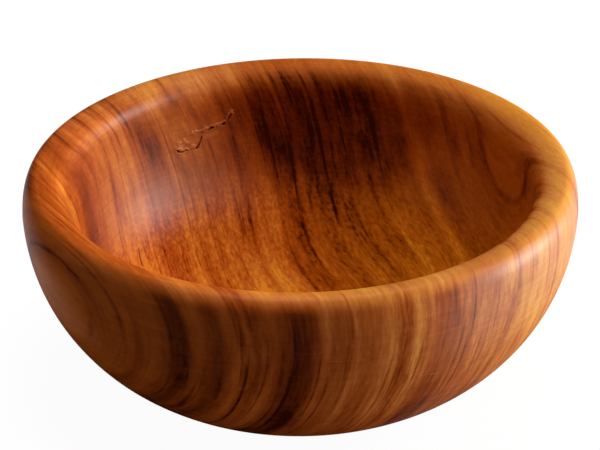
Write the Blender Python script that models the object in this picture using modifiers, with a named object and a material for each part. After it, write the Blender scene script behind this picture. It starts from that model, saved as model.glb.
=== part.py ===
"""Turned wooden bowl: one solid piece of hardwood, shaped and hollowed on a lathe.

The bowl stands upright on +Z, with its origin at the centre of its foot. Sizes are in metres.
"""

import math

import bpy

# Outside of the bowl
OUTER_DIAMETER = 0.150  # across the belly, the widest part of the wall
HEIGHT = 0.061  # from the foot to the crest of the lip
FOOT_DIAMETER = 0.053  # outer edge of the flat ring that the bowl stands on
FOOT_RING_WIDTH = 0.009  # width of that ring
FOOT_DISH_DEPTH = 0.0012  # shallow dish turned into the underside, inside the ring

# Lip
CREST_RISE = 0.0095  # from the belly up to the crest of the lip
CREST_INSET = 0.0038  # from the belly in to the crest of the lip
LIP_WIDTH = 0.0118  # from the belly in to the mouth
MOUTH_STRAIGHT = 0.0031  # upright band between the rolled lip and the inner wall

# Inside of the bowl
FLOOR_THICKNESS = 0.009  # wood under the edge of the floor
FLOOR_DISH_DEPTH = 0.001  # how much lower the floor is at the axis

# Steps along each stretch of the profile, and around the turn
TURN_STEPS = 64
WALL_STEPS = 18
ROLL_STEPS = 6
FLOOR_STEPS = 5
DISH_STEPS = 4

# Oiled finish
WOOD_COLOUR = (0.36, 0.135, 0.038, 1.0)
WOOD_ROUGHNESS = 0.38
WOOD_METALLIC = 0.0

MERGE_DISTANCE = 0.00001

OUTER_RADIUS = OUTER_DIAMETER / 2
FOOT_RADIUS = FOOT_DIAMETER / 2
BELLY_HEIGHT = HEIGHT - CREST_RISE
CREST_RADIUS = OUTER_RADIUS - CREST_INSET
MOUTH_RADIUS = OUTER_RADIUS - LIP_WIDTH
ROLL_DROP = CREST_RISE - MOUTH_STRAIGHT


def clear_scene():
    """Remove every object that is in the scene."""
    for obj in list(bpy.data.objects):
        bpy.data.objects.remove(obj)


def shares(steps):
    """Return even shares from just above 0 up to 1."""
    return [step / steps for step in range(1, steps + 1)]


def floor_profile():
    """Return the floor of the hollow, from the axis out to the foot of the inner wall."""
    edge_height = FLOOR_THICKNESS
    points = [(0.0, edge_height - FLOOR_DISH_DEPTH)]
    for share in shares(FLOOR_STEPS):
        dip = FLOOR_DISH_DEPTH * (1 + math.cos(math.pi * share)) / 2
        points.append((FOOT_RADIUS * share, edge_height - dip))
    return points


def outer_wall_point(angle):
    """Return a point of the outer wall and its outward normal.

    The wall is a quarter ellipse, level at the foot (angle 0) and upright at the belly (a right angle).
    """
    reach = OUTER_RADIUS - FOOT_RADIUS
    point = (FOOT_RADIUS + reach * math.sin(angle), BELLY_HEIGHT * (1 - math.cos(angle)))
    slope = (math.sin(angle) / reach, -math.cos(angle) / BELLY_HEIGHT)
    length = math.hypot(*slope)
    return point, (slope[0] / length, slope[1] / length)


def inner_wall_profile():
    """Return the inner wall, from the floor up to the mouth, at an even depth inside the outer wall."""
    points = []
    for share in shares(WALL_STEPS):
        angle = share * math.pi / 2
        (radius, height), (normal_out, normal_up) = outer_wall_point(angle)
        thickness = FLOOR_THICKNESS + (LIP_WIDTH - FLOOR_THICKNESS) * math.sin(angle) ** 2
        points.append((radius - thickness * normal_out, height - thickness * normal_up))
    return points


def lip_profile():
    """Return the rolled lip, from the mouth over the crest and out to the belly."""
    roll_width = CREST_RADIUS - MOUTH_RADIUS
    roll_height = HEIGHT - ROLL_DROP
    points = [(MOUTH_RADIUS, roll_height)]
    for share in shares(ROLL_STEPS):
        angle = share * math.pi / 2
        points.append(
            (CREST_RADIUS - roll_width * math.cos(angle), roll_height + ROLL_DROP * math.sin(angle))
        )
    for share in shares(ROLL_STEPS):
        angle = share * math.pi / 2
        points.append(
            (CREST_RADIUS + CREST_INSET * math.sin(angle), BELLY_HEIGHT + CREST_RISE * math.cos(angle))
        )
    return points


def outer_wall_profile():
    """Return the outer wall, from below the belly down to the foot."""
    return [outer_wall_point((1 - share) * math.pi / 2)[0] for share in shares(WALL_STEPS)]


def underside_profile():
    """Return the underside, from the flat ring in to the middle of the shallow dish."""
    dish_radius = FOOT_RADIUS - FOOT_RING_WIDTH
    points = [(dish_radius, 0.0)]
    for share in shares(DISH_STEPS):
        radius = dish_radius * (1 - share)
        points.append((radius, FOOT_DISH_DEPTH * (1 - (1 - share) ** 2)))
    return points


def oiled_wood():
    """Return the plain material of the oiled hardwood."""
    material = bpy.data.materials.new("oiled_hardwood")
    material.use_nodes = True
    shader = material.node_tree.nodes["Principled BSDF"]
    shader.inputs["Base Color"].default_value = WOOD_COLOUR
    shader.inputs["Roughness"].default_value = WOOD_ROUGHNESS
    shader.inputs["Metallic"].default_value = WOOD_METALLIC
    return material


def turned_object(name, profile, collection):
    """Return an object made by turning an open profile, of (radius, height) points, once round Z."""
    points = [(radius, 0.0, height) for radius, height in profile]
    edges = [(index, index + 1) for index in range(len(points) - 1)]
    mesh = bpy.data.meshes.new(name)
    mesh.from_pydata(points, edges, [])
    turned = bpy.data.objects.new(name, mesh)
    collection.objects.link(turned)

    screw = turned.modifiers.new("turn", "SCREW")
    screw.axis = "Z"
    screw.angle = 2 * math.pi
    screw.steps = TURN_STEPS
    screw.render_steps = TURN_STEPS
    screw.use_merge_vertices = True
    screw.merge_threshold = MERGE_DISTANCE
    screw.use_smooth_shade = True
    return turned


def build_bowl():
    """Build the bowl in its own collection."""
    collection = bpy.data.collections.new("turned_wooden_bowl")
    bpy.context.scene.collection.children.link(collection)
    profile = (
        floor_profile()
        + inner_wall_profile()
        + lip_profile()
        + outer_wall_profile()
        + underside_profile()
    )
    bowl = turned_object("bowl", profile, collection)
    bowl.data.materials.append(oiled_wood())


def main():
    """Clear the scene and build the bowl."""
    clear_scene()
    build_bowl()


main()
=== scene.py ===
"""Turned hardwood bowl, dressed and lit for its picture.

One block of striped red-brown hardwood, turned outside and inside on a lathe and oiled to a satin finish.
Sizes are in metres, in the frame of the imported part: +Z up, +X right and +Y away from the viewer.
"""

import logging
import math
from dataclasses import dataclass
from enum import Enum
from functools import reduce

import bpy
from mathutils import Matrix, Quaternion, Vector, noise


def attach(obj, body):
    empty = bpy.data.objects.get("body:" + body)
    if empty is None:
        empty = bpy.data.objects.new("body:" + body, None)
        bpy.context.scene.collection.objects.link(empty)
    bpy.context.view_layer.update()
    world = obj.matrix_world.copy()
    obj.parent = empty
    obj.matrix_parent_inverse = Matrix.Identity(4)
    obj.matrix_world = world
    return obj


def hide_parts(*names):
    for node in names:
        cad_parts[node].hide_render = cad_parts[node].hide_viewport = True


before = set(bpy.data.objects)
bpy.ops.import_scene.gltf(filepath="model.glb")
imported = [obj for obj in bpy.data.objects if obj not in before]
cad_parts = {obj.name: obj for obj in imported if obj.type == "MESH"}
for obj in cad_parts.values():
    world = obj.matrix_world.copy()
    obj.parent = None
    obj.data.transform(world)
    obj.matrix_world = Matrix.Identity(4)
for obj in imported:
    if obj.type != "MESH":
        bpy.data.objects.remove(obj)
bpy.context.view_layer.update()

LOG = logging.getLogger("turned_bowl")
MM = 0.001
WHITE = (1.0, 1.0, 1.0, 1.0)

Point = tuple[float, float, float]
ProfilePoint = tuple[float, float]
Colour = tuple[float, float, float, float]
Socket = bpy.types.NodeSocket
Feed = Socket | float | Point | Colour
MarkLine = tuple[Vector, Vector, float]


def shares(steps: int) -> list[float]:
    """Divide a stretch evenly, into shares from just above 0 up to 1."""
    return [step / steps for step in range(1, steps + 1)]


def ease(value: float, low: float, high: float) -> float:
    """Rise smoothly from 0 at the low value to 1 at the high one, which may lie below it."""
    share = min(max((value - low) / (high - low), 0.0), 1.0)
    return share * share * (3 - 2 * share)


@dataclass(frozen=True)
class Swell:
    """A local bulge in the growth layers, as beside a knot."""

    place: Point
    rise: float
    spread: float

    def shift(self, point: Vector) -> float:
        """Say how far the layers are pushed across at a point."""
        gap = (point - Vector(self.place)).length / self.spread
        return self.rise * math.exp(-gap * gap / 2)


@dataclass(frozen=True)
class GrowthLayers:
    """How the growth layers lie in the block: nearly upright, cupped, and turned off the viewer's axes."""

    heart: Point = (0.0, 0.0, 0.030)
    turn: float = math.radians(24.0)
    lean: float = math.radians(-4.3)
    bow: float = -0.2
    cup: float = 9.9
    twist: float = 2.7
    fan: float = -1.9
    splay: float = -3.0
    sweep: float = -62.0
    swells: tuple[Swell, ...] = (
        Swell((-0.0586, 0.0226, 0.0503), -0.0062, 0.0131),
        Swell((0.0357, 0.0221, -0.0017), -0.0110, 0.0217),
    )

    @property
    def across(self) -> Vector:
        """Return the direction that crosses the layers."""
        level = math.cos(self.lean)
        return Vector((level * math.cos(self.turn), level * math.sin(self.turn), math.sin(self.lean)))

    @property
    def fibre(self) -> Vector:
        """Return the direction of the fibres."""
        return Vector((-math.sin(self.turn), math.cos(self.turn), 0.0))

    def place(self, point: Vector) -> Point:
        """Find where a point lies in the wood.

        Args:
            point: A point of the bowl.

        Returns:
            Its distance across the layers, along the fibres and up in its layer.
        """
        offset = point - Vector(self.heart)
        up_layer = self.across.cross(self.fibre)
        depth, along, up = offset.dot(self.across), offset.dot(self.fibre), offset.dot(up_layer)
        bend = (self.bow * along**2 + self.cup * up**2) / 2 + self.twist * along * up
        turn = depth * (self.fan * along + self.splay * up) + self.sweep * along**3 / 6
        push = sum(swell.shift(point) for swell in self.swells)
        return depth + bend + turn + push, along, up


class Wall(Enum):
    """Which side of the wall a mark is on."""

    INSIDE = "inside"
    OUTSIDE = "outside"


@dataclass(frozen=True)
class Spot:
    """A place on the wall: the way round from +X in degrees, and the height in millimetres."""

    round_degrees: float
    height_mm: float


class MarkKind(Enum):
    """What a small mark does to the wood."""

    DARK = "dark"
    PALE = "pale"


@dataclass(frozen=True)
class Mark:
    """A fine line or speck in the surface."""

    kind: MarkKind
    wall: Wall
    spots: tuple[Spot, ...]
    half_width: float


class Measure(Enum):
    """What a fade is read along."""

    ACROSS = "across the growth layers"
    ALONG = "along the fibres"
    AWAY = "away from the viewer"
    HEIGHT = "above the foot"
    RIM = "up on the lip"
    TONE = "from dark to pale"
    FACING = "from face on to edge on"


ACROSS, ALONG, AWAY, HEIGHT, RIM, TONE, FACING = Measure


@dataclass(frozen=True)
class Fade:
    """A smooth change along a measure, from a start at one value of it to an end at another."""

    measure: Measure
    low: float
    high: float
    start: float = 0.0
    end: float = 1.0


@dataclass(frozen=True)
class Pattern:
    """Noise: features to a metre along each axis, strength, finer layers, and where spots begin and fill."""

    stretch: Point
    strength: float
    detail: float = 2.0
    roughness: float = 0.5
    spots: tuple[float, float] = (0.0, 1.0)


class NodeBench:
    """Places shader nodes in one tree and wires them."""

    def __init__(self, tree: bpy.types.NodeTree) -> None:
        """Take up a tree."""
        self.tree = tree

    def add(self, kind: str, **settings: object) -> bpy.types.Node:
        """Place a node.

        Args:
            kind: The node's type name.
            settings: Properties to set on it.

        Returns:
            The new node.
        """
        node = self.tree.nodes.new(kind)
        for name, value in settings.items():
            setattr(node, name, value)
        return node

    def feed(self, target: Socket, source: Feed) -> None:
        """Wire a socket, or set its value.

        Args:
            target: The input socket.
            source: An output socket, or a plain value.
        """
        if isinstance(source, bpy.types.NodeSocket):
            self.tree.links.new(source, target)
        else:
            target.default_value = source

    def math(self, operation: str, first: Feed, second: Feed = 0.0, clamp: bool = False) -> Socket:
        """Work on two numbers.

        Args:
            operation: The sum to do.
            first: The first number.
            second: The second number.
            clamp: Whether the result stays between 0 and 1.

        Returns:
            The result.
        """
        node = self.add("ShaderNodeMath", operation=operation, use_clamp=clamp)
        self.feed(node.inputs[0], first)
        self.feed(node.inputs[1], second)
        return node.outputs[0]

    def times(self, *factors: Feed) -> Socket:
        """Multiply numbers."""
        return reduce(lambda product, factor: self.math("MULTIPLY", product, factor), factors)

    def plus(self, *terms: Feed) -> Socket:
        """Add numbers."""
        return reduce(lambda total, term: self.math("ADD", total, term), terms)

    def less(self, first: Feed, second: Feed) -> Socket:
        """Take the second number from the first."""
        return self.math("SUBTRACT", first, second)

    def vector(self, operation: str, first: Feed, second: Feed = (0.0, 0.0, 0.0)) -> bpy.types.Node:
        """Work on two vectors.

        Args:
            operation: The sum to do.
            first: The first vector.
            second: The second vector.

        Returns:
            The node, which puts out a vector and a value.
        """
        node = self.add("ShaderNodeVectorMath", operation=operation)
        self.feed(node.inputs[0], first)
        self.feed(node.inputs[1], second)
        return node

    def split(self, vector: Feed) -> list[Socket]:
        """Take a vector apart.

        Args:
            vector: The vector.

        Returns:
            Its three numbers.
        """
        node = self.add("ShaderNodeSeparateXYZ")
        self.feed(node.inputs[0], vector)
        return list(node.outputs)

    def rise(self, value: Feed, low: Feed, high: Feed, start: float = 0.0, end: float = 1.0) -> Socket:
        """Rise smoothly between two values.

        Args:
            value: The number to read.
            low: The number that gives the start.
            high: The number that gives the end.
            start: What the low number gives.
            end: What the high number gives.

        Returns:
            The smooth result.
        """
        node = self.add("ShaderNodeMapRange", interpolation_type="SMOOTHSTEP")
        for socket, source in zip(node.inputs, (value, low, high, start, end)):
            self.feed(socket, source)
        return node.outputs[0]

    def fade(self, value: Feed, fade: Fade) -> Socket:
        """Read a fade at a value of its measure."""
        return self.rise(value, fade.low, fade.high, fade.start, fade.end)

    def ebb(self, mask: Feed, end: float) -> Socket:
        """Fall smoothly from 1 off a mask to an end on it."""
        return self.rise(mask, 0.0, 1.0, 1.0, end)

    def noise(self, vector: Feed, pattern: Pattern) -> Socket:
        """Lay cloudy noise, stretched along each axis.

        Args:
            vector: The place to read it at.
            pattern: The noise to lay.

        Returns:
            A number about 0.5.
        """
        node = self.add("ShaderNodeTexNoise")
        self.feed(node.inputs["Vector"], self.vector("MULTIPLY", vector, pattern.stretch).outputs[0])
        node.inputs["Scale"].default_value = 1.0
        node.inputs["Detail"].default_value = pattern.detail
        node.inputs["Roughness"].default_value = pattern.roughness
        return node.outputs[0]

    def swing(self, value: Feed, reach: float) -> Socket:
        """Turn a number about 0.5 into a swing about 0, which reaches so far at 0 and 1."""
        return self.times(self.less(value, 0.5), 2 * reach)

    def ramp(self, value: Feed, stops: list[tuple[float, Colour]]) -> Socket:
        """Turn a number into a colour.

        Args:
            value: A number from 0 to 1.
            stops: Places and their colours, in order.

        Returns:
            The colour.
        """
        node = self.add("ShaderNodeValToRGB")
        elements = node.color_ramp.elements
        while len(elements) < len(stops):
            elements.new(1.0)
        for element, (place, colour) in zip(elements, stops):
            element.position = place
            element.color = colour
        self.feed(node.inputs[0], value)
        return node.outputs[0]

    def blend(self, share: Feed, first: Feed, second: Feed, manner: str = "MIX") -> Socket:
        """Mix two colours.

        Args:
            share: How much of the second colour there is.
            first: The first colour.
            second: The second colour.
            manner: The way to mix.

        Returns:
            The mixed colour.
        """
        node = self.add("ShaderNodeMix", data_type="RGBA", blend_type=manner)
        self.feed(node.inputs["Factor"], share)
        self.feed(node.inputs[6], first)
        self.feed(node.inputs[7], second)
        return node.outputs[2]

    def tinted(self, share: Feed, colour: Feed, tint: Feed) -> Socket:
        """Tint a share of a colour."""
        return self.blend(share, colour, self.blend(1.0, colour, tint, "MULTIPLY"))

    def between(self, share: Feed, first: Feed, second: Feed) -> Socket:
        """Mix two numbers.

        Args:
            share: How much of the second number there is.
            first: The first number.
            second: The second number.

        Returns:
            The mixed number.
        """
        node = self.add("ShaderNodeMix", data_type="FLOAT")
        self.feed(node.inputs["Factor"], share)
        self.feed(node.inputs[2], first)
        self.feed(node.inputs[3], second)
        return node.outputs[0]


class WoodBench(NodeBench):
    """A bench for the wood's tree, with what is read at a point and the patterns that effects share."""

    def __init__(self, tree: bpy.types.NodeTree, finish: "OiledHardwood") -> None:
        """Read the piece's notes and lay the shared patterns.

        Args:
            tree: The node tree to work on.
            finish: The finish, which names the notes and the patterns.
        """
        super().__init__(tree)
        figure = finish.figure
        self.position = self.add("ShaderNodeTexCoord").outputs["Object"]
        right, away, height = self.split(self.position)
        self.grain = self.layer(finish.grain_layer)
        self.across, along, _ = self.split(self.grain)
        self.inside, self.end_grain, self.rim = self.split(self.layer(finish.side_layer))
        self.outside = self.less(1.0, self.inside)
        self.pocket, self.torn_edge, _ = self.split(self.layer(finish.pocket_layer))
        self.measures = {ACROSS: self.across, ALONG: along, AWAY: away, HEIGHT: height, RIM: self.rim}
        self.cloud = self.noise(self.grain, figure.cloud)
        self.fibres = self.noise(self.grain, figure.fibres)
        self.pores = self.spotted(figure.pores)
        self.low = self.times(self.inside, self.mask(figure.low_inside))
        self.floor = self.rise(self.low, figure.floor_from, 1.0)
        # The far wall's dark patch: stained heartwood and painted shade.
        self.stain_and_shade = finish.heart.stain_and_shade(self)
        radius = self.math("SQRT", self.plus(self.times(right, right), self.times(away, away)))
        turned = [self.math("DIVIDE", way, radius) for way in (right, away)]
        rings = self.add("ShaderNodeCombineXYZ")
        for socket, source in zip(rings.inputs, (*turned, self.plus(radius, height))):
            self.feed(socket, source)
        self.lathe = self.noise(rings.outputs[0], figure.lathe)

    def layer(self, name: str) -> Socket:
        """Read one of the piece's own attributes as a vector."""
        return self.add("ShaderNodeAttribute", attribute_name=name).outputs["Vector"]

    def mask(self, *fades: Fade) -> Socket:
        """Multiply fades, each read along its own measure."""
        return self.times(*(self.fade(self.measures[fade.measure], fade) for fade in fades))

    def swung(self, pattern: Pattern) -> Socket:
        """Lay noise in the grain that swings about 0 by its strength."""
        return self.swing(self.noise(self.grain, pattern), pattern.strength)

    def spotted(self, pattern: Pattern) -> Socket:
        """Mask the spots of a noise in the grain."""
        return self.rise(self.noise(self.grain, pattern), *pattern.spots)


@dataclass(frozen=True)
class Stripe:
    """A place across the growth layers, in millimetres, and how pale the wood is there."""

    across_mm: float
    tone: float


OUTSIDE_STRIPES = (
    Stripe(-76, 0.48), Stripe(-73, 0.43), Stripe(-71.5, 0.35), Stripe(-69.5, 0.36), Stripe(-67, 0.35),
    Stripe(-65.5, 0.27), Stripe(-63, 0.34), Stripe(-60, 0.17), Stripe(-58, 0.16), Stripe(-55, 0.32),
    Stripe(-52, 0.13), Stripe(-50, 0.25), Stripe(-48, 0.37), Stripe(-46, 0.54), Stripe(-43, 0.40),
    Stripe(-40, 0.46), Stripe(-37, 0.22), Stripe(-34, 0.14), Stripe(-32, 0.13), Stripe(-30, 0.30),
    Stripe(-28, 0.58), Stripe(-26.5, 0.57), Stripe(-23.5, 0.40), Stripe(-20.5, 0.58), Stripe(-17.5, 0.56),
    Stripe(-14.5, 0.48), Stripe(-13, 0.62), Stripe(-11.5, 0.60), Stripe(-10, 0.70), Stripe(-7, 0.72),
    Stripe(-5.5, 0.60), Stripe(-4, 0.84), Stripe(-1, 0.62), Stripe(2, 0.40), Stripe(3.5, 0.26),
    Stripe(5, 0.32), Stripe(8, 0.24), Stripe(9.5, 0.49), Stripe(20, 0.54), Stripe(23, 0.58),
    Stripe(26, 0.85), Stripe(29, 0.84), Stripe(31, 0.78), Stripe(34, 0.87), Stripe(40, 0.92),
    Stripe(50, 0.84), Stripe(60, 0.80),
)
INSIDE_STRIPES = (
    Stripe(-66, 0.50), Stripe(-58, 0.58), Stripe(-53, 0.74), Stripe(-50, 0.32), Stripe(-48, 0.36),
    Stripe(-46, 0.66), Stripe(-44.5, 0.57), Stripe(-42, 0.66), Stripe(-35, 0.73), Stripe(-29, 0.76),
    Stripe(-26.5, 0.56), Stripe(-24, 0.45), Stripe(-21.5, 0.40), Stripe(-18.5, 0.47), Stripe(-15.7, 0.76),
    Stripe(-13.5, 0.56), Stripe(-10, 0.56), Stripe(-5, 0.46), Stripe(-1, 0.63), Stripe(3, 0.54),
    Stripe(5.5, 0.64), Stripe(8, 0.56), Stripe(10, 0.70), Stripe(12.5, 0.46), Stripe(14, 0.44),
    Stripe(15.5, 0.30), Stripe(17, 0.33), Stripe(18.5, 0.38), Stripe(20, 0.32), Stripe(21.5, 0.39),
    Stripe(23, 0.28), Stripe(25.5, 0.46), Stripe(27.5, 0.33), Stripe(30.5, 0.24), Stripe(32, 0.37),
    Stripe(33.5, 0.45), Stripe(36.5, 0.50), Stripe(38, 0.58), Stripe(39.5, 0.47), Stripe(41, 0.45),
    Stripe(42.5, 0.50), Stripe(44, 0.39), Stripe(45.3, 0.40), Stripe(47, 0.60), Stripe(49, 0.36),
    Stripe(51, 0.33), Stripe(54, 0.41), Stripe(70, 0.58),
)


@dataclass(frozen=True)
class DarkHeartAndShade:
    """The far wall's dark patch, stained heartwood and painted shade: its middle and reach in the grain's
    directions.
    """

    middle: Point = (0.023, 0.046, 0.021)
    reach: Point = (0.035, 0.045, 0.030)
    edge: tuple[float, float] = (1.15, 0.45)
    ragged: float = 0.25
    # Painted shade: the patch is full below the lip and weaker on the lip's top.
    under_lip: Fade = Fade(HEIGHT, 0.0595, 0.049, 0.3, 1.0)
    darker: float = 0.42
    tint: Colour = (1.0, 0.92, 0.85, 1.0)

    def stain_and_shade(self, wood: WoodBench) -> Socket:
        """Mask the far wall's dark patch of stained heartwood and painted shade.

        Args:
            wood: The bench to work at.

        Returns:
            How stained and shaded the wood is, from 0 to 1.
        """
        offset = wood.vector("SUBTRACT", wood.grain, self.middle).outputs[0]
        scaled = wood.vector("DIVIDE", offset, self.reach).outputs[0]
        gap = wood.plus(wood.vector("LENGTH", scaled).outputs["Value"], wood.swing(wood.cloud, self.ragged))
        return wood.times(wood.rise(gap, *self.edge), wood.inside, wood.mask(self.under_lip))


@dataclass(frozen=True)
class LipLightAndShade:
    """Painted light and shade on the lip: its top lifted paler, most on the right, and darkened on the left.
    """

    tones: tuple[Fade, ...] = (
        Fade(ACROSS, -0.066, -0.042, 0.42, 0.83), Fade(ACROSS, -0.010, 0.008, 0.0, -0.06),
        Fade(ACROSS, 0.015, 0.045, 0.0, 0.20))
    share: Fade = Fade(ALONG, 0.060, 0.0, 0.50, 0.85)
    left: tuple[Fade, ...] = (Fade(ACROSS, -0.015, -0.035), Fade(ALONG, -0.020, 0.025))
    left_share: float = 0.25
    left_shade: float = 0.78

    def lit_and_shaded(self, wood: WoodBench, tone: Socket) -> Socket:
        """Paint light on the lip's top, lifting it paler, and paint shade on its left.

        Args:
            wood: The bench to work at.
            tone: How pale the wood is.

        Returns:
            How pale it is with its painted light and shade.
        """
        left = wood.mask(*self.left)
        share = wood.times(wood.rim, wood.mask(self.share), wood.ebb(left, self.left_share))
        # Painted light: the paler tones that the lip's top is lifted towards.
        lit_tone = wood.plus(*(wood.mask(fade) for fade in self.tones))
        lift = wood.math("MAXIMUM", wood.less(lit_tone, tone), 0.0)
        tone = wood.plus(tone, wood.times(share, lift))
        # Painted shade on the left of the lip.
        return wood.times(tone, wood.ebb(wood.times(wood.rim, left), self.left_shade))


@dataclass(frozen=True)
class WoodFigure:
    """The fine figure of the wood, what the lathe left on it, painted shade at the foot and painted light on
    the floor.
    """

    drift: Pattern = Pattern((60.0, 12.0, 20.0), 0.0008)
    ripple: Pattern = Pattern((350.0, 45.0, 90.0), 0.0005, 3.0)
    cloud: Pattern = Pattern((120.0, 35.0, 60.0), 0.20)
    lines: Pattern = Pattern((430.0, 20.0, 50.0), 0.38, 3.0, 0.65)
    bands: Pattern = Pattern((180.0, 7.0, 14.0), 0.26, 1.0)
    fibres: Pattern = Pattern((1100.0, 120.0, 300.0), 0.12)
    grit: Pattern = Pattern((900.0, 900.0, 900.0), 0.07, 3.0, 0.6)
    veins: Pattern = Pattern((760.0, 12.0, 25.0), 0.09, 1.0, spots=(0.44, 0.30))
    dark_gain: float = 1.35
    pale_gain: float = 0.85
    outside_by_tone: Fade = Fade(TONE, 0.1, 0.7, 0.7, 1.1)
    outside_by_place: tuple[Fade, ...] = (
        Fade(ACROSS, -0.012, 0.0, 1.0, 1.3), Fade(ACROSS, 0.018, 0.034, 1.1, 0.75),
        Fade(ACROSS, -0.030, -0.014, 0.82, 1.0), Fade(ACROSS, -0.066, -0.052, 0.6, 1.0))
    inside_by_place: Fade = Fade(ACROSS, 0.035, 0.055, 1.05, 0.6)
    # How far the fine lines fade in the far wall's patch of stained heartwood and painted shade.
    inside_stained_and_shaded: float = 0.82
    calm_lip: Fade = Fade(ACROSS, -0.010, 0.015, 0.1, 0.6)
    late_wood: Pattern = Pattern((420.0, 5.0, 8.0), 0.08, spots=(0.48, 0.36))
    late_place: Fade = Fade(ACROSS, -0.046, -0.060)
    streaks: Pattern = Pattern((95.0, 14.0, 26.0), 0.18, spots=(0.50, 0.68))
    streak_place: Fade = Fade(ACROSS, -0.002, -0.014)
    streak_on_lip: float = 0.3
    streak_lift: float = 0.03
    flecks: Pattern = Pattern((1300.0, 320.0, 900.0), 0.11, 1.0, spots=(0.52, 0.68))
    pores: Pattern = Pattern((1300.0, 320.0, 900.0), 0.14, 1.0, spots=(0.46, 0.30))
    low_inside: Fade = Fade(HEIGHT, 0.034, 0.018, 0.3, 1.0)
    end_grain_drop: float = 0.05
    # Painted shade near the foot: the height it starts at, higher on the right.
    foot_shade_line: Fade = Fade(ACROSS, 0.0, 0.020, 0.032, 0.046)
    foot_shade_drop: float = 0.50
    lathe: Pattern = Pattern((4.0, 4.0, 900.0), 0.09, 3.0, 0.6)
    chatter_outside: Fade = Fade(ACROSS, -0.010, 0.012, 0.9, 1.5)
    chatter_inside: Fade = Fade(ACROSS, 0.0, -0.020, 0.8, 1.3)
    floor_from: float = 0.3
    # Painted light on the inside floor: paler on the left, darker on the right.
    floor_painted_light: Fade = Fade(ACROSS, -0.004, 0.018, 1.16, 0.96)
    lathe_relief: float = 0.006
    pore_relief: float = -0.02
    fibre_relief: float = 0.004
    check_relief: float = 0.15

    def fine_lines(self, wood: WoodBench, tone: Socket) -> Socket:
        """Add up the fine lines, dark ones stronger than pale ones, as strong as the place shows them.

        Args:
            wood: The bench to work at.
            tone: How pale the wood is.

        Returns:
            A swing about 0.
        """
        grit = wood.swing(wood.noise(wood.position, self.grit), self.grit.strength)
        lines = wood.plus(wood.swung(self.lines), wood.swung(self.bands),
                          wood.swing(wood.fibres, self.fibres.strength),
                          wood.swing(wood.cloud, self.cloud.strength), grit)
        lines = wood.less(lines, wood.swing(wood.spotted(self.veins), self.veins.strength))
        lines = wood.math("MINIMUM", wood.times(lines, self.dark_gain), wood.times(lines, self.pale_gain))
        outside = wood.times(wood.fade(tone, self.outside_by_tone), wood.mask(*self.outside_by_place))
        inside = wood.times(wood.mask(self.inside_by_place), wood.ebb(wood.stain_and_shade, self.inside_stained_and_shaded))
        calm = wood.times(wood.rim, wood.mask(self.calm_lip))
        return wood.times(lines, wood.between(wood.inside, outside, inside), wood.less(1.0, calm))

    def figured(self, wood: WoodBench, tone: Socket) -> Socket:
        """Draw late wood, streaks and fine lines into the stripes.

        Args:
            wood: The bench to work at.
            tone: How pale the stripes are.

        Returns:
            How pale the wood is.
        """
        fine_lines = self.fine_lines(wood, tone)
        late = wood.times(wood.spotted(self.late_wood), wood.outside, wood.mask(self.late_place))
        tone = wood.less(tone, wood.times(late, self.late_wood.strength))
        streaked = wood.times(wood.inside, wood.mask(self.streak_place),
                              wood.ebb(wood.rim, self.streak_on_lip))
        tone = wood.less(tone, wood.times(wood.spotted(self.streaks), streaked, self.streaks.strength))
        return wood.plus(tone, wood.times(streaked, self.streak_lift), fine_lines)

    def turned(self, wood: WoodBench, tone: Socket) -> Socket:
        """Open the pores, paint shade towards the foot and light on the floor, and leave the lathe's marks.

        Args:
            wood: The bench to work at.
            tone: How pale the wood is.

        Returns:
            How pale the turned wood is.
        """
        tone = wood.plus(tone, wood.times(wood.spotted(self.flecks), wood.low, self.flecks.strength))
        tone = wood.less(tone, wood.times(wood.pores, wood.low, self.pores.strength))
        tone = wood.less(tone, wood.times(wood.end_grain, self.end_grain_drop))
        # Painted shade: the outside darkens towards the foot.
        foot_shade = wood.rise(wood.measures[HEIGHT], wood.mask(self.foot_shade_line), 0.0, 0.0, self.foot_shade_drop)
        tone = wood.times(tone, wood.less(1.0, wood.times(wood.outside, foot_shade)))
        chatter = wood.between(wood.inside, wood.mask(self.chatter_outside), wood.mask(self.chatter_inside))
        tone = wood.plus(tone, wood.times(wood.swing(wood.lathe, self.lathe.strength), chatter))
        # Painted light on the inside floor: paler on the left, darker on the right.
        return wood.between(wood.floor, tone, wood.times(tone, wood.mask(self.floor_painted_light)))

    def relief(self, wood: WoodBench, checks: Socket) -> Socket:
        """Raise and sink the finest surface marks.

        Args:
            wood: The bench to work at.
            checks: The mask of the dark marks.

        Returns:
            The height in millimetres.
        """
        relief = wood.plus(wood.swing(wood.lathe, self.lathe_relief),
                           wood.times(wood.pores, self.pore_relief),
                           wood.swing(wood.fibres, self.fibre_relief))
        return wood.less(relief, wood.times(checks, self.check_relief))


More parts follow.
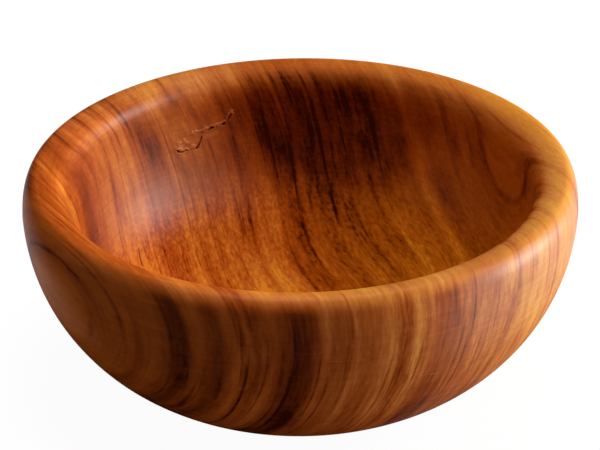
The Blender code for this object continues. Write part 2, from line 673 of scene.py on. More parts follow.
@dataclass(frozen=True)
class OilTints:
    """The wood's shades, each for the tone that its red gives, how the oil tints them by place, and a painted
    sheen.
    """

    deep: Colour = (0.050, 0.0075, 0.0012, 1.0)
    dark: Colour = (0.150, 0.0240, 0.0030, 1.0)
    brown: Colour = (0.300, 0.0580, 0.0060, 1.0)
    russet: Colour = (0.450, 0.1000, 0.0130, 1.0)
    warm: Colour = (0.600, 0.1480, 0.0240, 1.0)
    amber: Colour = (0.750, 0.2350, 0.0480, 1.0)
    pale: Colour = (0.880, 0.3250, 0.0600, 1.0)
    honey: Colour = (1.000, 0.4400, 0.0800, 1.0)
    outside: Colour = (1.0, 0.89, 0.90, 1.0)
    outside_place: Fade = Fade(ACROSS, 0.025, 0.0)
    past_edge: Fade = Fade(ACROSS, -0.060, -0.047)
    ruddy: Colour = (1.0, 0.76, 0.50, 1.0)
    oiled: Colour = (1.0, 0.91, 0.44, 1.0)
    oiled_place: Fade = Fade(ACROSS, -0.035, -0.010)
    # Painted sheen: a paler blue-grey haze high on the left of the inside wall.
    painted_sheen_tint: Colour = (1.0, 1.08, 1.30, 1.0)
    painted_sheen_place: tuple[Fade, ...] = (
        Fade(ACROSS, -0.045, -0.030), Fade(ACROSS, 0.004, -0.008), Fade(HEIGHT, 0.024, 0.034))
    golden: Colour = (1.0, 1.06, 0.24, 1.0)
    golden_place: Fade = Fade(ACROSS, 0.0, 0.045)
    left_side: Fade = Fade(ACROSS, 0.015, -0.030)
    under_lip: Fade = Fade(HEIGHT, 0.0600, 0.053)
    floor_oil: Colour = (1.0, 0.86, 0.85, 1.0)
    floor_place: Fade = Fade(ACROSS, 0.030, 0.010)
    lip_oil: Colour = (1.0, 0.87, 0.55, 1.0)
    far_place: tuple[Fade, ...] = (Fade(AWAY, -0.010, 0.030), Fade(ACROSS, 0.0, 0.030))

    def oil_and_sheen_tint(self, wood: WoodBench) -> Socket:
        """Mix the tint of the oil inside, with a painted sheen high on the left of the inside wall.

        Args:
            wood: The bench to work at.

        Returns:
            The tint, with its painted sheen.
        """
        tint = wood.blend(wood.mask(self.oiled_place), self.ruddy, self.oiled)
        # Painted sheen on the upper left of the inside wall.
        tint = wood.tinted(wood.mask(*self.painted_sheen_place), tint, self.painted_sheen_tint)
        return wood.blend(wood.mask(self.golden_place), tint, self.golden)

    def coloured(self, wood: WoodBench, tone: Socket) -> Socket:
        """Colour the wood by its tone, and tint it with oil and a painted sheen.

        Args:
            wood: The bench to work at.
            tone: How pale the wood is.

        Returns:
            The colour.
        """
        shades = (self.deep, self.dark, self.brown, self.russet, self.warm, self.amber, self.pale, self.honey)
        colour = wood.ramp(tone, [(shade[0], shade) for shade in shades])
        ruddier = wood.times(wood.mask(self.outside_place, self.past_edge), wood.outside)
        colour = wood.tinted(ruddier, colour, self.outside)
        left = wood.mask(self.left_side)
        below_lip = wood.math("MAXIMUM", wood.mask(self.under_lip), left)
        left_rim = wood.times(wood.rim, left, wood.mask(self.past_edge))
        soaked = wood.math("MAXIMUM", wood.times(wood.inside, below_lip), left_rim)
        colour = wood.tinted(soaked, colour, self.oil_and_sheen_tint(wood))
        colour = wood.tinted(wood.times(wood.floor, wood.mask(self.floor_place)), colour, self.floor_oil)
        return wood.tinted(wood.times(wood.rim, wood.mask(*self.far_place)), colour, self.lip_oil)


@dataclass(frozen=True)
class SatinPolish:
    """Where the oiled surface shines, and how rough it is."""

    inner: tuple[Fade, ...] = (
        Fade(HEIGHT, 0.016, 0.032), Fade(ACROSS, 0.014, -0.010, 0.1, 1.0),
        Fade(HEIGHT, 0.060, 0.050, 0.25, 1.0), Fade(ACROSS, -0.053, -0.047, 0.2, 1.0))
    side: tuple[Fade, ...] = (
        Fade(ACROSS, -0.008, 0.018, 0.02, 0.75), Fade(HEIGHT, 0.030, 0.056, 0.15, 1.0),
        Fade(AWAY, 0.0, 0.030, 1.0, 0.3), Fade(RIM, 0.0, 1.0, 1.25, 0.4))
    edge: Fade = Fade(FACING, 0.5, 1.0, 0.0, 0.55)
    edge_place: Fade = Fade(HEIGHT, 0.030, 0.052)
    roughness: float = 0.6
    cloud_roughness: float = 0.06
    pore_roughness: float = 0.2
    pocket_roughness: float = 0.4
    specular: float = 0.0
    coat_roughness: float = 0.44
    coat_ior: float = 1.85

    def dress(self, wood: WoodBench, shader: bpy.types.Node) -> None:
        """Set the shader's roughness and coat.

        Args:
            wood: The bench to work at.
            shader: The principled shader.
        """
        rough = wood.plus(self.roughness, wood.swing(wood.cloud, self.cloud_roughness),
                          wood.times(wood.pores, self.pore_roughness),
                          wood.times(wood.pocket, self.pocket_roughness))
        facing = wood.add("ShaderNodeLayerWeight").outputs["Facing"]
        edge = wood.times(wood.fade(facing, self.edge), wood.mask(self.edge_place))
        outer = wood.math("MAXIMUM", wood.mask(*self.side), edge)
        torn = wood.math("ADD", wood.pocket, wood.torn_edge, clamp=True)
        coat = wood.times(wood.between(wood.inside, outer, wood.mask(*self.inner)), wood.less(1.0, torn))
        wood.feed(shader.inputs["Roughness"], rough)
        wood.feed(shader.inputs["Coat Weight"], coat)
        shader.inputs["Specular IOR Level"].default_value = self.specular
        shader.inputs["Coat Roughness"].default_value = self.coat_roughness
        shader.inputs["Coat IOR"].default_value = self.coat_ior


@dataclass(frozen=True)
class OiledHardwood:
    """Satin oil finish on striped red-brown hardwood, with painted light and shade on the lip, floor, foot,
    far wall and pocket.
    """

    name: str = "oiled_hardwood"
    grain_layer: str = "grain"
    pocket_layer: str = "pocket"
    side_layer: str = "side"
    stripe_span: tuple[float, float] = (-0.080, 0.080)
    heart: DarkHeartAndShade = DarkHeartAndShade()
    lip: LipLightAndShade = LipLightAndShade()
    # Painted light and shade on the lip.
    figure: WoodFigure = WoodFigure()
    tints: OilTints = OilTints()
    polish: SatinPolish = SatinPolish()
    # Near-black of the dark checks and the bark pocket: dark cracks and bark, with painted shade in the
    # sunken groove.
    dark_crack_and_shade: Colour = (0.045, 0.0080, 0.0020, 1.0)
    dark_crack_and_shade_share: float = 0.8
    # Pale marks: scuffs, and a painted highlight beside the bark pocket.
    pale_scuff_and_highlight: Colour = (0.780, 0.3000, 0.0800, 1.0)
    pale_scuff_and_highlight_share: float = 0.35
    # Painted light: how far the pocket's torn ridge is paled to amber, where it catches the lamps.
    torn_edge_light_share: float = 0.55
    mark_core: float = 0.35
    least_length: float = 1e-9

    def striped(self, wood: WoodBench, across: Socket, stripes: tuple[Stripe, ...]) -> Socket:
        """Lay the growth stripes.

        Args:
            wood: The bench to work at.
            across: The distance across the layers.
            stripes: The stripes, in order.

        Returns:
            How pale the wood is.
        """
        low, high = self.stripe_span
        place = wood.math("DIVIDE", wood.less(across, low), high - low)
        stops = [((s.across_mm * MM - low) / (high - low), (s.tone, s.tone, s.tone, 1.0)) for s in stripes]
        middle = len(stops) // 2
        past_middle = wood.math("GREATER_THAN", place, stops[middle][0])
        lower, upper = wood.ramp(place, stops[:middle + 1]), wood.ramp(place, stops[middle:])
        return wood.between(past_middle, lower, upper)

    def tone(self, wood: WoodBench) -> Socket:
        """Work out how pale the wood is, from its stripes to its lathe marks, with its painted light and
        shade.

        Args:
            wood: The bench to work at.

        Returns:
            A number from 0 for the darkest wood to 1 for the palest.
        """
        bend = wood.plus(wood.swung(self.figure.drift), wood.swung(self.figure.ripple))
        layer = wood.plus(wood.across, bend)
        outer, inner = (self.striped(wood, layer, stripes) for stripes in (OUTSIDE_STRIPES, INSIDE_STRIPES))
        tone = wood.between(wood.inside, outer, inner)
        # Darken the far wall's patch of stained heartwood and painted shade.
        tone = wood.times(tone, wood.ebb(wood.stain_and_shade, self.heart.darker))
        return self.figure.turned(wood, self.figure.figured(wood, self.lip.lit_and_shaded(wood, tone)))

    def mark_group(self) -> bpy.types.NodeTree:
        """Make the node group for one straight piece of a mark.

        Returns:
            The group, which masks what lies near the piece.
        """
        group = bpy.data.node_groups.new("surface_mark", "ShaderNodeTree")
        for name in ("Position", "Start", "End"):
            group.interface.new_socket(name, in_out="INPUT", socket_type="NodeSocketVector")
        group.interface.new_socket("Half Width", in_out="INPUT", socket_type="NodeSocketFloat")
        group.interface.new_socket("Mask", in_out="OUTPUT", socket_type="NodeSocketFloat")
        bench = NodeBench(group)
        position, start, end, half_width = bench.add("NodeGroupInput").outputs[:4]
        reach = bench.vector("SUBTRACT", position, start).outputs[0]
        run = bench.vector("SUBTRACT", end, start).outputs[0]
        length = bench.vector("DOT_PRODUCT", run, run).outputs["Value"]
        passed = bench.vector("DOT_PRODUCT", reach, run).outputs["Value"]
        share = bench.math("DIVIDE", passed, bench.math("MAXIMUM", length, self.least_length), clamp=True)
        step = bench.add("ShaderNodeVectorMath", operation="SCALE")
        bench.feed(step.inputs[0], run)
        bench.feed(step.inputs["Scale"], share)
        offset = bench.vector("SUBTRACT", reach, step.outputs[0]).outputs[0]
        gap = bench.vector("LENGTH", offset).outputs["Value"]
        mask = bench.rise(gap, half_width, bench.times(half_width, self.mark_core))
        bench.feed(bench.add("NodeGroupOutput").inputs[0], mask)
        return group

    def marked(self, wood: WoodBench, lines: list[MarkLine], group: bpy.types.NodeTree) -> Socket:
        """Mask all the marks of one kind.

        Args:
            wood: The bench to work at.
            lines: Each straight piece's start, end and half width.
            group: The node group for one piece.

        Returns:
            1 on the marks and 0 off them.
        """
        total: Feed = 0.0
        for start, end, half_width in lines:
            node = wood.add("ShaderNodeGroup", node_tree=group)
            wood.feed(node.inputs["Position"], wood.position)
            node.inputs["Start"].default_value = start
            node.inputs["End"].default_value = end
            node.inputs["Half Width"].default_value = half_width
            total = wood.math("MAXIMUM", total, node.outputs["Mask"])
        return total

    def material(self, marks: dict[MarkKind, list[MarkLine]]) -> bpy.types.Material:
        """Make the finish.

        Args:
            marks: The straight pieces of the marks, by kind.

        Returns:
            The new material.
        """
        material = bpy.data.materials.new(self.name)
        material.use_nodes = True
        shader = material.node_tree.nodes["Principled BSDF"]
        wood = WoodBench(material.node_tree, self)
        # Tint the far wall's patch of stained heartwood and painted shade.
        colour = wood.tinted(wood.stain_and_shade, self.tints.coloured(wood, self.tone(wood)), self.heart.tint)
        group = self.mark_group()
        checks, scuffs_and_highlights = (self.marked(wood, marks[kind], group) for kind in (MarkKind.DARK, MarkKind.PALE))
        holes = wood.math("MAXIMUM", checks, wood.pocket)
        # Painted light on the pocket's torn ridge, paled to amber.
        colour = wood.blend(wood.times(wood.torn_edge, self.torn_edge_light_share), colour, self.tints.amber)
        # Pale scuffs, and a painted highlight beside the bark pocket.
        colour = wood.blend(wood.times(scuffs_and_highlights, self.pale_scuff_and_highlight_share), colour, self.pale_scuff_and_highlight)
        # Dark checks and bark, with painted shade in the pocket's sunken groove.
        colour = wood.blend(wood.times(holes, self.dark_crack_and_shade_share), colour, self.dark_crack_and_shade)
        wood.feed(shader.inputs["Base Color"], colour)
        self.polish.dress(wood, shader)
        bump = wood.add("ShaderNodeBump")
        bump.inputs["Distance"].default_value = MM
        wood.feed(bump.inputs["Height"], self.figure.relief(wood, checks))
        wood.feed(shader.inputs["Normal"], bump.outputs[0])
        return material


@dataclass(frozen=True)
class PocketSpot(Spot):
    """A place on the bark pocket's line, and how open it is there."""

    opening: float


@dataclass(frozen=True)
class Tear:
    """One run of the bark pocket, and how far the torn wood stands up along its upper edge."""

    spots: tuple[PocketSpot, ...]
    ridge: float

    def nearest(self, point: Vector, path: list[Vector]) -> tuple[float, float, float]:
        """Measure a point against the run.

        Args:
            point: A point of the bowl.
            path: The run's points on the wall.

        Returns:
            The distance to the run, how open the run is there, and how far above it the point lies.
        """
        best = (math.inf, 0.0, 0.0)
        for index, (start, end) in enumerate(zip(path, path[1:])):
            run = end - start
            share = min(max((point - start).dot(run) / run.length_squared, 0.0), 1.0)
            away = point - start - run * share
            if away.length < best[0]:
                opening = self.spots[index].opening * (1 - share) + self.spots[index + 1].opening * share
                best = (away.length, opening, away.z)
        return best


@dataclass(frozen=True)
class BarkPocket:
    """The jagged natural fissure in the inside wall: sunken runs with torn, raised edges."""

    tears: tuple[Tear, ...] = (
        Tear((PocketSpot(127.2, 40.2, 0.3), PocketSpot(126.4, 39.8, 0.6), PocketSpot(125.0, 39.6, 0.6),
              PocketSpot(123.2, 39.4, 0.3), PocketSpot(121.7, 39.4, 0.4), PocketSpot(120.4, 39.5, 1.0)), 0.6),
        Tear((PocketSpot(126.9, 40.8, 0.1), PocketSpot(125.7, 41.7, 0.1), PocketSpot(124.5, 41.9, 0.1),
              PocketSpot(123.5, 41.4, 0.0)), 0.7),
        Tear((PocketSpot(120.4, 39.5, 1.0), PocketSpot(119.6, 40.7, 0.7), PocketSpot(118.8, 42.2, 0.9),
              PocketSpot(118.1, 43.4, 0.4)), 0.2),
        Tear((PocketSpot(121.2, 43.6, 0.0), PocketSpot(120.0, 43.6, 0.1), PocketSpot(118.3, 43.8, 0.1),
              PocketSpot(116.8, 44.2, 0.3), PocketSpot(115.5, 44.2, 1.2), PocketSpot(114.1, 44.5, 0.3),
              PocketSpot(112.6, 44.9, 0.3), PocketSpot(111.1, 45.2, 1.4), PocketSpot(110.2, 46.2, 0.8),
              PocketSpot(109.7, 47.2, 1.2), PocketSpot(109.4, 48.0, 0.3)), 1.0),
    )
    reach: float = 0.032
    half_width: float = 0.00030
    closed_width: float = 0.4
    slope_top: float = 1.4
    slope_foot: float = 0.3
    full_opening: float = 1.6
    depth: float = 0.0008
    ridge_width: float = 0.0014
    ridge_core: float = 0.4
    ridge_start: float = 1.5
    ridge_rise: float = 0.00024
    low_edge: float = 0.2
    edge_from: float = -0.0002
    edge_to: float = 0.0003
    work_reach: float = 0.0024
    cuts: int = 7
    grit: float = 1400.0
    grit_share: float = 0.6
    stray: float = 0.0005
    stray_grit: float = 700.0
    stray_seed: int = 6

    def worked(self, point: Vector, paths: list[list[Vector]]) -> tuple[float, float]:
        """Say what the pocket does to a point.

        Args:
            point: A point of the bowl.
            paths: The points of each run on the wall.

        Returns:
            How deep the point is in the pocket, and how far up on its torn edge.
        """
        sunk = edge = 0.0
        jag = 1 + self.grit_share * noise.noise(point * self.grit)
        stray = point + noise.noise_vector(point * self.stray_grit) * self.stray
        for tear, path in zip(self.tears, paths):
            gap, opening, above = tear.nearest(stray, path)
            width = self.half_width * (self.closed_width + (1 - self.closed_width) * opening) * jag
            upper = self.low_edge + (1 - self.low_edge) * ease(above, self.edge_from, self.edge_to)
            swell = ease(gap, self.ridge_width * jag, self.ridge_width * self.ridge_core)
            swell *= ease(gap, 0.0, width * self.ridge_start)
            slope = ease(gap, width * self.slope_top, width * self.slope_foot)
            sunk = max(sunk, slope * min(opening * self.full_opening, 1.0))
            edge = max(edge, tear.ridge * upper * swell)
        return sunk, edge * (1 - sunk)

    def carve(self, bowl: bpy.types.Object, paths: list[list[Vector]]) -> dict[int, tuple[float, float]]:
        """Refine the wall along the runs and sink it there.

        Args:
            bowl: The turned bowl.
            paths: The points of each run on the wall.

        Returns:
            For each point that was worked, how deep it is in the pocket and how far up on its torn edge.
        """
        mesh = bowl.data
        for face in mesh.polygons:
            gaps = [tear.nearest(face.center, path)[0] for tear, path in zip(self.tears, paths)
                    if (face.center - path[0]).length < self.reach]
            face.select = min(gaps, default=math.inf) < self.work_reach
        bpy.ops.object.mode_set(mode="EDIT")
        bpy.ops.mesh.subdivide(number_cuts=self.cuts)
        bpy.ops.object.mode_set(mode="OBJECT")
        near = [vertex for vertex in mesh.vertices if (vertex.co - paths[0][0]).length < self.reach]
        noise.seed_set(self.stray_seed)
        worked = {vertex.index: self.worked(vertex.co, paths) for vertex in near}
        moves = {index: mesh.vertices[index].normal * (self.ridge_rise * edge - self.depth * sunk)
                 for index, (sunk, edge) in worked.items()}
        for index, move in moves.items():
            mesh.vertices[index].co += move
        return worked


@dataclass
class TurnedBowl:
    """The bowl: one profile drawn point by point, then spun round the turning axis."""

    outer_radius: float = 0.075
    height: float = 0.061
    foot_radius: float = 0.0265
    foot_ring_width: float = 0.009
    foot_dish_depth: float = 0.0012
    crest_rise: float = 0.0095
    crest_inset: float = 0.0038
    lip_width: float = 0.0118
    mouth_straight: float = 0.0031
    floor_thickness: float = 0.009
    floor_dish_depth: float = 0.001
    floor_margin: float = 0.0015
    turn_steps: int = 320
    floor_steps: int = 24
    wall_steps: int = 70
    roll_steps: int = 16
    ring_steps: int = 6
    dish_steps: int = 14
    weld: float = 0.000008
    rim_low: float = 0.0574
    rim_high: float = 0.0605
    outside_facing: float = 0.95
    inside_facing: float = -0.1
    sanding: int = 8
    layers: GrowthLayers = GrowthLayers()
    pocket: BarkPocket = BarkPocket()

    @property
    def belly_height(self) -> float:
        """Return the height of the widest part of the wall."""
        return self.height - self.crest_rise

    def outer_wall_point(self, angle: float) -> tuple[ProfilePoint, ProfilePoint]:
        """Find a point of the outer wall, a quarter ellipse.

        Args:
            angle: 0 at the foot, a right angle at the belly.

        Returns:
            The point and its outward normal, each as radius and height.
        """
        reach = self.outer_radius - self.foot_radius
        rise = self.belly_height
        point = (self.foot_radius + reach * math.sin(angle), rise * (1 - math.cos(angle)))
        slope = (math.sin(angle) / reach, -math.cos(angle) / rise)
        length = math.hypot(*slope)
        return point, (slope[0] / length, slope[1] / length)

    def profile(self) -> list[ProfilePoint]:
        """Lay out the whole section, from the middle of the floor, over the lip and under to the axis."""
        return self.floor_points() + self.inner_wall_points() + self.lip_points() + self.outer_points()

    def floor_points(self) -> list[ProfilePoint]:
        """Lay out the dished floor.

        Returns:
            Points from the axis out to the foot of the inner wall.
        """
        points = [(0.0, self.floor_thickness - self.floor_dish_depth)]
        for share in shares(self.floor_steps):
            dip = self.floor_dish_depth * (1 + math.cos(math.pi * share)) / 2
            points.append((self.foot_radius * share, self.floor_thickness - dip))
        return points

    def inner_wall_points(self) -> list[ProfilePoint]:
        """Lay out the inner wall, at an even depth inside the outer wall.

        Returns:
            Points from above the floor up to the mouth.
        """
        points = []
        for share in shares(self.wall_steps):
            angle = share * math.pi / 2
            (radius, height), (normal_out, normal_up) = self.outer_wall_point(angle)
            thickness = self.floor_thickness + (self.lip_width - self.floor_thickness) * math.sin(angle) ** 2
            points.append((radius - thickness * normal_out, height - thickness * normal_up))
        return points

    def lip_points(self) -> list[ProfilePoint]:
        """Lay out the rolled lip.

        Returns:
            Points from the mouth over the crest and out to the belly.
        """
        crest_radius = self.outer_radius - self.crest_inset
        mouth_radius = self.outer_radius - self.lip_width
        roll_drop = self.crest_rise - self.mouth_straight
        roll_height = self.height - roll_drop
        points = [(mouth_radius, roll_height - self.mouth_straight / 2), (mouth_radius, roll_height)]
        for share in shares(self.roll_steps):
            angle = share * math.pi / 2
            reach = (crest_radius - mouth_radius) * math.cos(angle)
            points.append((crest_radius - reach, roll_height + roll_drop * math.sin(angle)))
        for share in shares(self.roll_steps):
            angle = share * math.pi / 2
            reach = self.crest_inset * math.sin(angle)
            points.append((crest_radius + reach, self.belly_height + self.crest_rise * math.cos(angle)))
        for _ in range(self.sanding):
            middles = [tuple((a + 2 * b + c) / 4 for a, b, c in zip(*trio))
                       for trio in zip(points, points[1:], points[2:])]
            points = [points[0], *middles, points[-1]]
        return points

    def outer_points(self) -> list[ProfilePoint]:
        """Lay out the outer wall, the foot ring and the dished underside.

        Returns:
            Points from below the belly down to the foot and in to the axis.
        """
        points = [self.outer_wall_point((1 - share) * math.pi / 2)[0] for share in shares(self.wall_steps)]
        dish_radius = self.foot_radius - self.foot_ring_width
        for share in shares(self.ring_steps):
            points.append((self.foot_radius - self.foot_ring_width * share, 0.0))
        for share in shares(self.dish_steps):
            points.append((dish_radius * (1 - share), self.foot_dish_depth * (1 - (1 - share) ** 2)))
        return points

    def on_wall(self, wall: Wall, spot: Spot) -> Vector:
        """Find a spot on the turned wall.

        Args:
            wall: The side of the wall.
            spot: The way round and the height.

        Returns:
            The point on the surface.
        """
        points = self.profile()
        crest = max(range(len(points)), key=lambda index: points[index][1])
        side = points[: crest + 1] if wall is Wall.INSIDE else points[crest:]
        height = spot.height_mm * MM
        radius = side[-1][0]
        for (low_radius, low), (high_radius, high) in zip(side, side[1:]):
            if min(low, high) <= height <= max(low, high) and low != high:
                radius = low_radius + (high_radius - low_radius) * (height - low) / (high - low)
        angle = math.radians(spot.round_degrees)
        return Vector((radius * math.cos(angle), radius * math.sin(angle), height))

    def turn(self) -> bpy.types.Object:
        """Draw the profile by extruding a vertex along it, and spin it once round the axis.

        Returns:
            The turned object, closed and with its faces outwards.
        """
        points = [Vector((radius, 0.0, height)) for radius, height in self.profile()]
        bpy.ops.object.select_all(action="DESELECT")
        bpy.ops.mesh.primitive_plane_add(size=self.height)
        bowl = bpy.context.object
        bowl.name = bowl.data.name = "turned_bowl"
        bpy.ops.object.mode_set(mode="EDIT")
        bpy.ops.mesh.select_all(action="SELECT")
        bpy.ops.mesh.merge(type="CENTER")
        bpy.ops.transform.translate(value=points[0])
        for here, there in zip(points, points[1:]):
            bpy.ops.mesh.extrude_vertices_move(TRANSFORM_OT_translate={"value": there - here})
        bpy.ops.mesh.select_all(action="SELECT")
        bpy.ops.mesh.spin(steps=self.turn_steps, angle=2 * math.pi,
                          center=(0.0, 0.0, 0.0), axis=(0.0, 0.0, 1.0))
        bpy.ops.mesh.select_all(action="SELECT")
        bpy.ops.mesh.remove_doubles(threshold=self.weld)
        bpy.ops.mesh.normals_make_consistent(inside=False)
        bpy.ops.mesh.select_all(action="DESELECT")
        bpy.ops.object.mode_set(mode="OBJECT")
        bpy.ops.object.shade_smooth()
        return bowl

    def lay_grain(self, bowl: bpy.types.Object, worked: dict[int, tuple[float, float]],
                  finish: OiledHardwood) -> None:
        """Note on every point of the mesh where it lies in the wood.

        Args:
            bowl: The turned bowl.
            worked: What the bark pocket did to its points.
            finish: The finish that reads the notes.
        """
        layers = [bowl.data.attributes.new(name, "FLOAT_VECTOR", "POINT")
                  for name in (finish.grain_layer, finish.pocket_layer, finish.side_layer)]
        fibre = self.layers.fibre
        for vertex in bowl.data.vertices:
            outward = Vector((vertex.co.x, vertex.co.y, 0.0)).normalized().dot(vertex.normal)
            inside = self.inside_share(vertex.co, outward)
            notes = (self.layers.place(vertex.co), (*worked.get(vertex.index, (0.0, 0.0)), 0.0),
                     (inside, abs(vertex.normal.dot(fibre)), ease(vertex.co.z, self.rim_low, self.rim_high)))
            for layer, note in zip(layers, notes):
                layer.data[vertex.index].vector = note

    def inside_share(self, point: Vector, outward: float) -> float:
        """Tell the inside from the outside, with a slow change over the lip.

        Args:
            point: A point of the surface.
            outward: How far the surface faces away from the axis there.

        Returns:
            0 outside, 1 inside.
        """
        if point.z > self.belly_height - self.mouth_straight:
            return ease(outward, self.outside_facing, self.inside_facing)
        return 1.0 if math.hypot(point.x, point.y) < self.middle_radius(point.z) else 0.0

    def middle_radius(self, height: float) -> float:
        """Find the middle of the wall at a height.

        Args:
            height: The height above the foot.

        Returns:
            The radius halfway through the wall, or 0 under the floor.
        """
        if height < self.floor_thickness - self.floor_margin:
            return 0.0
        angle = math.acos(max(1 - height / self.belly_height, 0.0))
        (radius, _), _ = self.outer_wall_point(angle)
        return radius - self.floor_thickness / 2

    def mark_lines(self, marks: list[Mark]) -> dict[MarkKind, list[MarkLine]]:
        """Lay the small marks on the wall.

        Args:
            marks: The marks.

        Returns:
            Each mark's straight pieces, by kind.
        """
        lines: dict[MarkKind, list[MarkLine]] = {kind: [] for kind in MarkKind}
        for mark in marks:
            points = [self.on_wall(mark.wall, spot) for spot in mark.spots]
            ends = points[1:] if len(points) > 1 else points
            lines[mark.kind] += [(start, end, mark.half_width) for start, end in zip(points, ends)]
        return lines

    def build(self, finish: OiledHardwood, marks: list[Mark]) -> bpy.types.Object:
        """Turn the bowl, open its bark pocket and dress it in its finish.

        Args:
            finish: The wood and its oil.
            marks: The small marks in the surface.

        Returns:
            The finished piece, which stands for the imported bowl.
        """
        bowl = self.turn()
        paths = [[self.on_wall(Wall.INSIDE, spot) for spot in tear.spots] for tear in self.pocket.tears]
        self.lay_grain(bowl, self.pocket.carve(bowl, paths), finish)
        bowl.data.materials.clear()
        bowl.data.materials.append(finish.material(self.mark_lines(marks)))
        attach(bowl, "root")
        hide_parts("bowl")
        return bowl


@dataclass(frozen=True)
class SoftLight:
    """A soft box, placed by the way round from +X and the height angle, and aimed at the bowl."""

    name: str
    round_degrees: float
    height_degrees: float
    distance: float
    width: float
    height: float
    level: float

    def build(self, aim: Vector) -> None:
        """Hang the light.

        Args:
            aim: The point that the light faces.
        """
        turn, tilt = math.radians(self.round_degrees), math.radians(self.height_degrees)
        away = Vector((math.cos(turn) * math.cos(tilt), math.sin(turn) * math.cos(tilt), math.sin(tilt)))
        data = bpy.data.lights.new(self.name, "AREA")
        data.shape = "RECTANGLE"
        data.size = self.width
        data.size_y = self.height
        data.energy = self.level * math.pi * self.distance**2
        lamp = bpy.data.objects.new(self.name, data)
        lamp.location = aim + away * self.distance
        lamp.rotation_euler = (-away).to_track_quat("-Z", "Y").to_euler()
        bpy.context.scene.collection.objects.link(lamp)


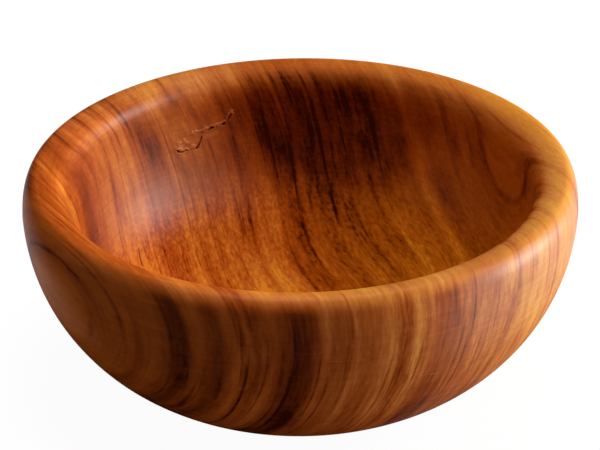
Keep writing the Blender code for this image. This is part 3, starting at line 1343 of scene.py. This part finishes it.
@dataclass
class Studio:
    """The pale floor, the soft lights and the camera."""

    aim: Point = (-0.00015, 0.0, 0.04126)
    distance: float = 0.450
    elevation: float = math.radians(28.68)
    roll: float = math.radians(-0.697)
    lens: float = 97.908
    sensor: float = 36.0
    floor_size: float = 12.0
    floor_colour: Colour = (0.55, 0.55, 0.55, 1.0)
    floor_shade: Colour = (0.10, 0.10, 0.10, 1.0)
    floor_glow: float = 0.955
    floor_roughness: float = 0.9
    floor_specular: float = 0.0
    world_level: float = 0.025

    def seen(self, bench: NodeBench) -> Socket:
        """Tell what the camera sees, straight or in a reflection, from what only lights the bowl.

        Args:
            bench: The tree to work in.

        Returns:
            1 for what is seen, 0 for the rest.
        """
        path = bench.add("ShaderNodeLightPath")
        straight = bench.plus(path.outputs["Is Camera Ray"], path.outputs["Is Glossy Ray"])
        return bench.math("ADD", straight, path.outputs["Is Transmission Ray"], clamp=True)

    def build_floor(self) -> None:
        """Lay the pale floor, which takes the bowl's shadow."""
        bpy.ops.object.select_all(action="DESELECT")
        bpy.ops.mesh.primitive_plane_add(size=self.floor_size)
        floor = bpy.context.object
        floor.name = "pale_floor"
        material = bpy.data.materials.new("pale_floor")
        material.use_nodes = True
        bench = NodeBench(material.node_tree)
        shader = material.node_tree.nodes["Principled BSDF"]
        shader.inputs["Roughness"].default_value = self.floor_roughness
        shader.inputs["Specular IOR Level"].default_value = self.floor_specular
        shader.inputs["Emission Color"].default_value = WHITE
        seen = self.seen(bench)
        bench.feed(shader.inputs["Base Color"], bench.blend(seen, self.floor_colour, self.floor_shade))
        bench.feed(shader.inputs["Emission Strength"], bench.times(seen, self.floor_glow))
        floor.data.materials.append(material)

    def build_world(self) -> None:
        """Fill the room with an even, dim light."""
        world = bpy.data.worlds.new("studio")
        world.use_nodes = True
        background = world.node_tree.nodes["Background"]
        background.inputs["Color"].default_value = WHITE
        background.inputs["Strength"].default_value = self.world_level
        bpy.context.scene.world = world

    def build_camera(self) -> None:
        """Stand the camera where the photograph was taken from."""
        aim = Vector(self.aim)
        back = Vector((0.0, -math.cos(self.elevation), math.sin(self.elevation)))
        data = bpy.data.cameras.new("camera")
        data.sensor_fit = "HORIZONTAL"
        data.sensor_width = self.sensor
        data.lens = self.lens
        camera = bpy.data.objects.new("camera", data)
        camera.location = aim + back * self.distance
        turn = (-back).to_track_quat("-Z", "Y") @ Quaternion((0.0, 0.0, 1.0), self.roll)
        camera.rotation_euler = turn.to_euler()
        bpy.context.scene.collection.objects.link(camera)
        bpy.context.scene.camera = camera

    def build(self, lights: list[SoftLight]) -> None:
        """Set up the whole studio.

        Args:
            lights: The soft lights to hang.
        """
        self.build_floor()
        self.build_world()
        for light in lights:
            light.build(Vector(self.aim))
        self.build_camera()
        bpy.context.scene.view_settings.view_transform = "Standard"


MARKS = [
    Mark(MarkKind.DARK, Wall.INSIDE, (Spot(154.3, 21.8), Spot(156.5, 20.2), Spot(158.6, 18.5)), 0.00024),
    Mark(MarkKind.DARK, Wall.INSIDE, (Spot(42.0, 34.8),), 0.0004),
    Mark(MarkKind.DARK, Wall.INSIDE, (Spot(40.3, 36.6),), 0.0003),
    Mark(MarkKind.DARK, Wall.INSIDE, (Spot(33.6, 46.1), Spot(30.1, 42.5), Spot(25.6, 39.3)), 0.00016),
    Mark(MarkKind.DARK, Wall.OUTSIDE, (Spot(219.3, 55.9), Spot(223.0, 55.2)), 0.00025),
    Mark(MarkKind.PALE, Wall.INSIDE, (Spot(126.2, 40.8), Spot(124.8, 41.2)), 0.0007),
    Mark(MarkKind.PALE, Wall.INSIDE, (Spot(117.7, 42.3), Spot(115.9, 42.4), Spot(114.0, 42.8)), 0.0011),
    Mark(MarkKind.PALE, Wall.OUTSIDE, (Spot(282.0, 47.2), Spot(282.0, 46.6)), 0.0003),
    Mark(MarkKind.PALE, Wall.OUTSIDE, (Spot(275.1, 45.3), Spot(281.5, 44.9)), 0.00018),
    Mark(MarkKind.PALE, Wall.OUTSIDE, (Spot(295.3, 35.5), Spot(297.0, 35.2)), 0.0003),
]
LIGHTS = [
    SoftLight("key_right", 5.0, 14.0, 1.1, 0.45, 0.70, 3.0),
    SoftLight("fill_top", 90.0, 82.0, 1.1, 0.6, 0.6, 1.35),
    SoftLight("fill_front", 330.0, 52.0, 1.1, 0.6, 0.6, 0.35),
    SoftLight("fill_left", 180.0, 14.0, 1.1, 0.5, 0.5, 0.4),
]


def main() -> None:
    """Build the bowl and its studio, and report each piece."""
    logging.basicConfig(level=logging.INFO)
    bowl = TurnedBowl().build(OiledHardwood(), MARKS)
    LOG.info("%s: %d faces", bowl.name, len(bowl.data.polygons))
    Studio().build(LIGHTS)
    LOG.info("studio: %d lights", len(LIGHTS))


if __name__ == "__main__":
    main()
